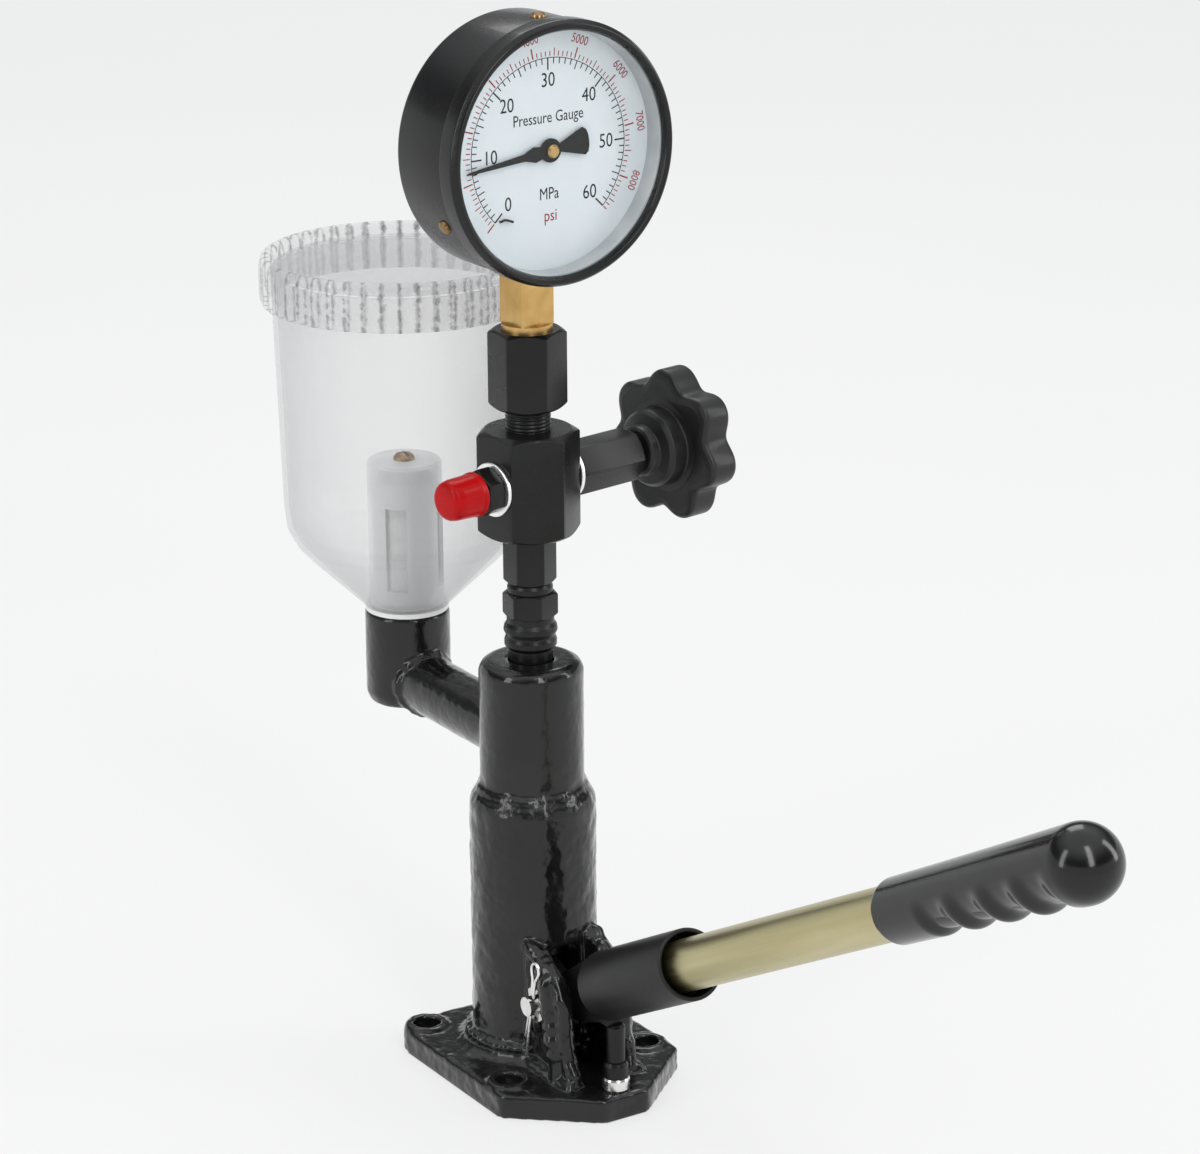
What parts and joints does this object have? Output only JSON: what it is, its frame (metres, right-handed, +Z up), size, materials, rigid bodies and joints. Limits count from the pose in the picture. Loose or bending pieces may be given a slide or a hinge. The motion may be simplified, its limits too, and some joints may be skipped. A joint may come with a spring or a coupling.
{
  "type": "hand pump test stand",
  "caption": "Hand-operated high-pressure injector test pump: cast stand, pump lever, clear fuel cup, shut-off valve, capped outlet and pressure gauge.",
  "frame": {"origin": "centre of the four base holes, on the column axis, at the underside of the base plate", "axes": "+X along the lever, +Y towards the hand knob, +Z up the column"},
  "size_m": [0.5137, 0.1467, 0.4338],
  "materials": {
    "cast_enamel": "gloss black enamel over a rough casting",
    "black_steel": "satin blackened steel",
    "sleeve_black": "semi-gloss black paint",
    "zinc_gold": "yellow passivated zinc",
    "zinc_bright": "bright zinc",
    "grip_black": "gloss moulded vinyl",
    "knob_black": "satin moulded plastic",
    "brass": "machined brass",
    "bronze": "dark bronze screws",
    "cup_clear": "clear, slightly milky moulded plastic",
    "lid_clear": "clear moulded plastic",
    "post_white": "translucent white plastic",
    "screen_grey": "fine woven wire",
    "cap_red": "soft red plastic",
    "washer_alu": "bright soft washer",
    "gauge_enamel": "gloss black enamel on sheet steel",
    "dial_white": "satin white with printed scale",
    "pointer_black": "matt black",
    "window_glass": "clear flat glass",
    "ring_grey": "pale grey rubber",
    "seal_white": "white sealing plastic",
    "spring_steel": "oiled spring steel",
    "ground_steel": "hardened and ground steel",
    "packing": "graphited packing"
  },
  "bodies": {
    "stand": {"base_plate": "cast_enamel", "pump_column": "cast_enamel", "feed_arm": "cast_enamel", "tank_socket": "cast_enamel", "pump_barrel": "ground_steel", "upper_spring_seat": "ground_steel", "plunger_spring": "spring_steel", "delivery_valve_seat": "ground_steel", "delivery_valve_spring": "spring_steel", "delivery_valve_holder": "black_steel", "block_connector": "black_steel", "valve_block": "black_steel", "outlet_washer": "washer_alu", "outlet_fitting": "black_steel", "bonnet_washer": "washer_alu", "valve_bonnet": "black_steel", "gland_packing": "packing", "gauge_nipple": "black_steel", "gauge_nut": "black_steel", "gauge_gasket": "washer_alu", "gauge_socket": "brass", "gauge_case": "gauge_enamel", "case_screws": "bronze", "gauge_bezel": "gauge_enamel", "gauge_glass": "window_glass", "glass_gasket": "ring_grey", "gauge_dial": "dial_white", "bourdon_tube": "brass", "movement_frame": "brass", "tank_seal": "seal_white", "tank_bowl": "cup_clear", "filter_post": "post_white", "filter_screen": "screen_grey", "post_screw": "bronze", "pivot_pin": "zinc_bright", "split_pin": "zinc_bright", "pin_washer": "zinc_bright", "stop_rod": "sleeve_black", "stop_nut": "black_steel", "stop_washer": "zinc_bright"},
    "lever": {"lever_arm": "sleeve_black", "lever_sleeve": "sleeve_black", "handle_tube": "zinc_gold", "grip": "grip_black"},
    "plunger_group": {"plunger": "ground_steel", "tappet": "ground_steel", "lower_spring_seat": "ground_steel"},
    "delivery_valve": {"delivery_valve_poppet": "ground_steel"},
    "needle": {"valve_needle": "ground_steel"},
    "knob": {"valve_spindle": "black_steel", "valve_knob": "knob_black", "knob_screw": "bronze"},
    "cap": {"outlet_cap": "cap_red"},
    "lid": {"tank_lid": "lid_clear"},
    "pointer": {"pointer_shaft": "brass", "gauge_pointer": "pointer_black"},
    "sector": {"sector_gear": "brass"},
    "link": {"sector_link": "brass"}
  },
  "joints": [
    {"name": "lever_pivot", "type": "hinge", "parent": "stand", "child": "lever", "pos_m": [0.028, 0, 0.038], "axis": [0, -1, 0], "range_deg": [0, 24]},
    {"name": "plunger_slide", "type": "slide", "parent": "stand", "child": "plunger_group", "axis": [0, 0, -1], "range_m": [0, 0.012], "deforming": ["plunger_spring"]},
    {"name": "delivery_valve_lift", "type": "slide", "parent": "stand", "child": "delivery_valve", "axis": [0, 0, 1], "range_m": [0, 0.0015], "stiffness_N_per_m": 600, "springref_m": -0.003, "deforming": ["delivery_valve_spring"]},
    {"name": "valve_lift", "type": "slide", "parent": "stand", "child": "needle", "axis": [-0.1685, 0.9857, 0], "range_m": [0, 0.003]},
    {"name": "knob_turn", "type": "hinge", "parent": "needle", "child": "knob", "pos_m": [-0.00337, 0.01971, 0.2476], "axis": [-0.1685, 0.9857, 0], "range_deg": [0, 540]},
    {"name": "outlet_cap_pull", "type": "slide", "parent": "stand", "child": "cap", "axis": [0.1685, -0.9857, 0], "range_m": [0, 0.03]},
    {"name": "lid_lift", "type": "slide", "parent": "stand", "child": "lid", "axis": [0, 0, 1], "range_m": [0, 0.12]},
    {"name": "pointer_turn", "type": "hinge", "parent": "stand", "child": "pointer", "pos_m": [0, 0, 0.382], "axis": [-0.9988, -0.0488, 0], "range_deg": [-38.25, 231.75]},
    {"name": "sector_turn", "type": "hinge", "parent": "stand", "child": "sector", "pos_m": [0, 0, 0.3685], "axis": [-0.9988, -0.0488, 0], "range_deg": [-37, 6.5]},
    {"name": "link_swing", "type": "hinge", "parent": "sector", "child": "link", "pos_m": [0, 0, 0.359], "axis": [-0.9988, -0.0488, 0], "range_deg": [-6.5, 37]}
  ],
  "couplings": [
    {"joint": "plunger_slide", "follows": "lever_pivot", "m_per_rad": 0.0284},
    {"joint": "valve_lift", "follows": "knob_turn", "m_per_rad": 0.00023873},
    {"joint": "sector_turn", "follows": "pointer_turn", "ratio": -0.158},
    {"joint": "link_swing", "follows": "pointer_turn", "ratio": 0.158}
  ]
}
